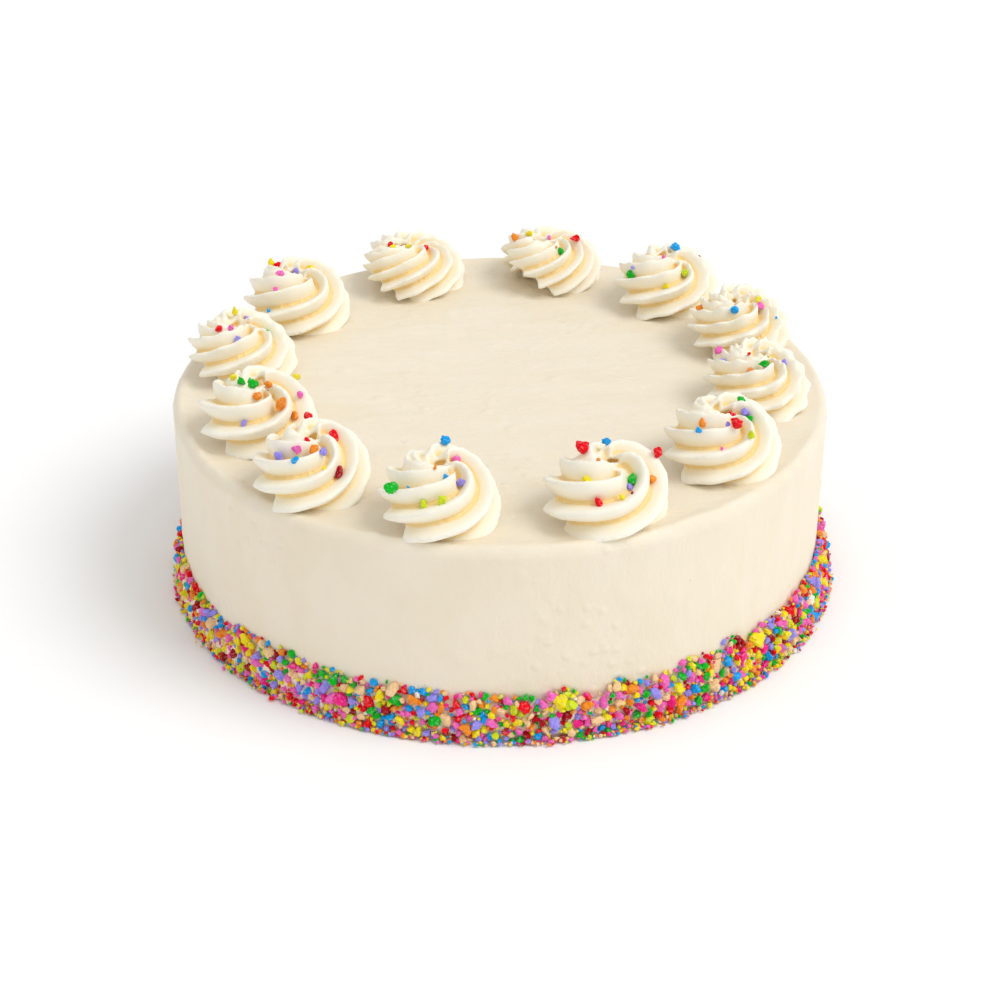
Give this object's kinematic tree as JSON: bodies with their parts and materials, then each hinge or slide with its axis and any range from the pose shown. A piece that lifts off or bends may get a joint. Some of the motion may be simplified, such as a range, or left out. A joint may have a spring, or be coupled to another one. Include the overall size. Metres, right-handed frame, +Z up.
{
  "type": "frosted celebration cake",
  "caption": "Round uncut cake in smooth ivory buttercream, with star-piped rosettes round the rim and a band of bright candy crumbs at the foot.",
  "frame": {"origin": "middle of the cake's flat base, on the surface it stands on", "axes": "+Z up; -Y is the front"},
  "size_m": [0.2259, 0.2263, 0.0853],
  "materials": {
    "coating_buttercream": "satin, smoothed",
    "piped_buttercream": "satin, piped",
    "candy_crumbs": "mixed bright candy pieces"
  },
  "bodies": {
    "root": {"cake": "coating_buttercream", "crumb_band": "candy_crumbs", "rosette_01": "piped_buttercream", "rosette_02": "piped_buttercream", "rosette_03": "piped_buttercream", "rosette_04": "piped_buttercream", "rosette_05": "piped_buttercream", "rosette_06": "piped_buttercream", "rosette_07": "piped_buttercream", "rosette_08": "piped_buttercream", "rosette_09": "piped_buttercream", "rosette_10": "piped_buttercream", "rosette_11": "piped_buttercream", "rosette_12": "piped_buttercream"}
  },
  "joints": []
}
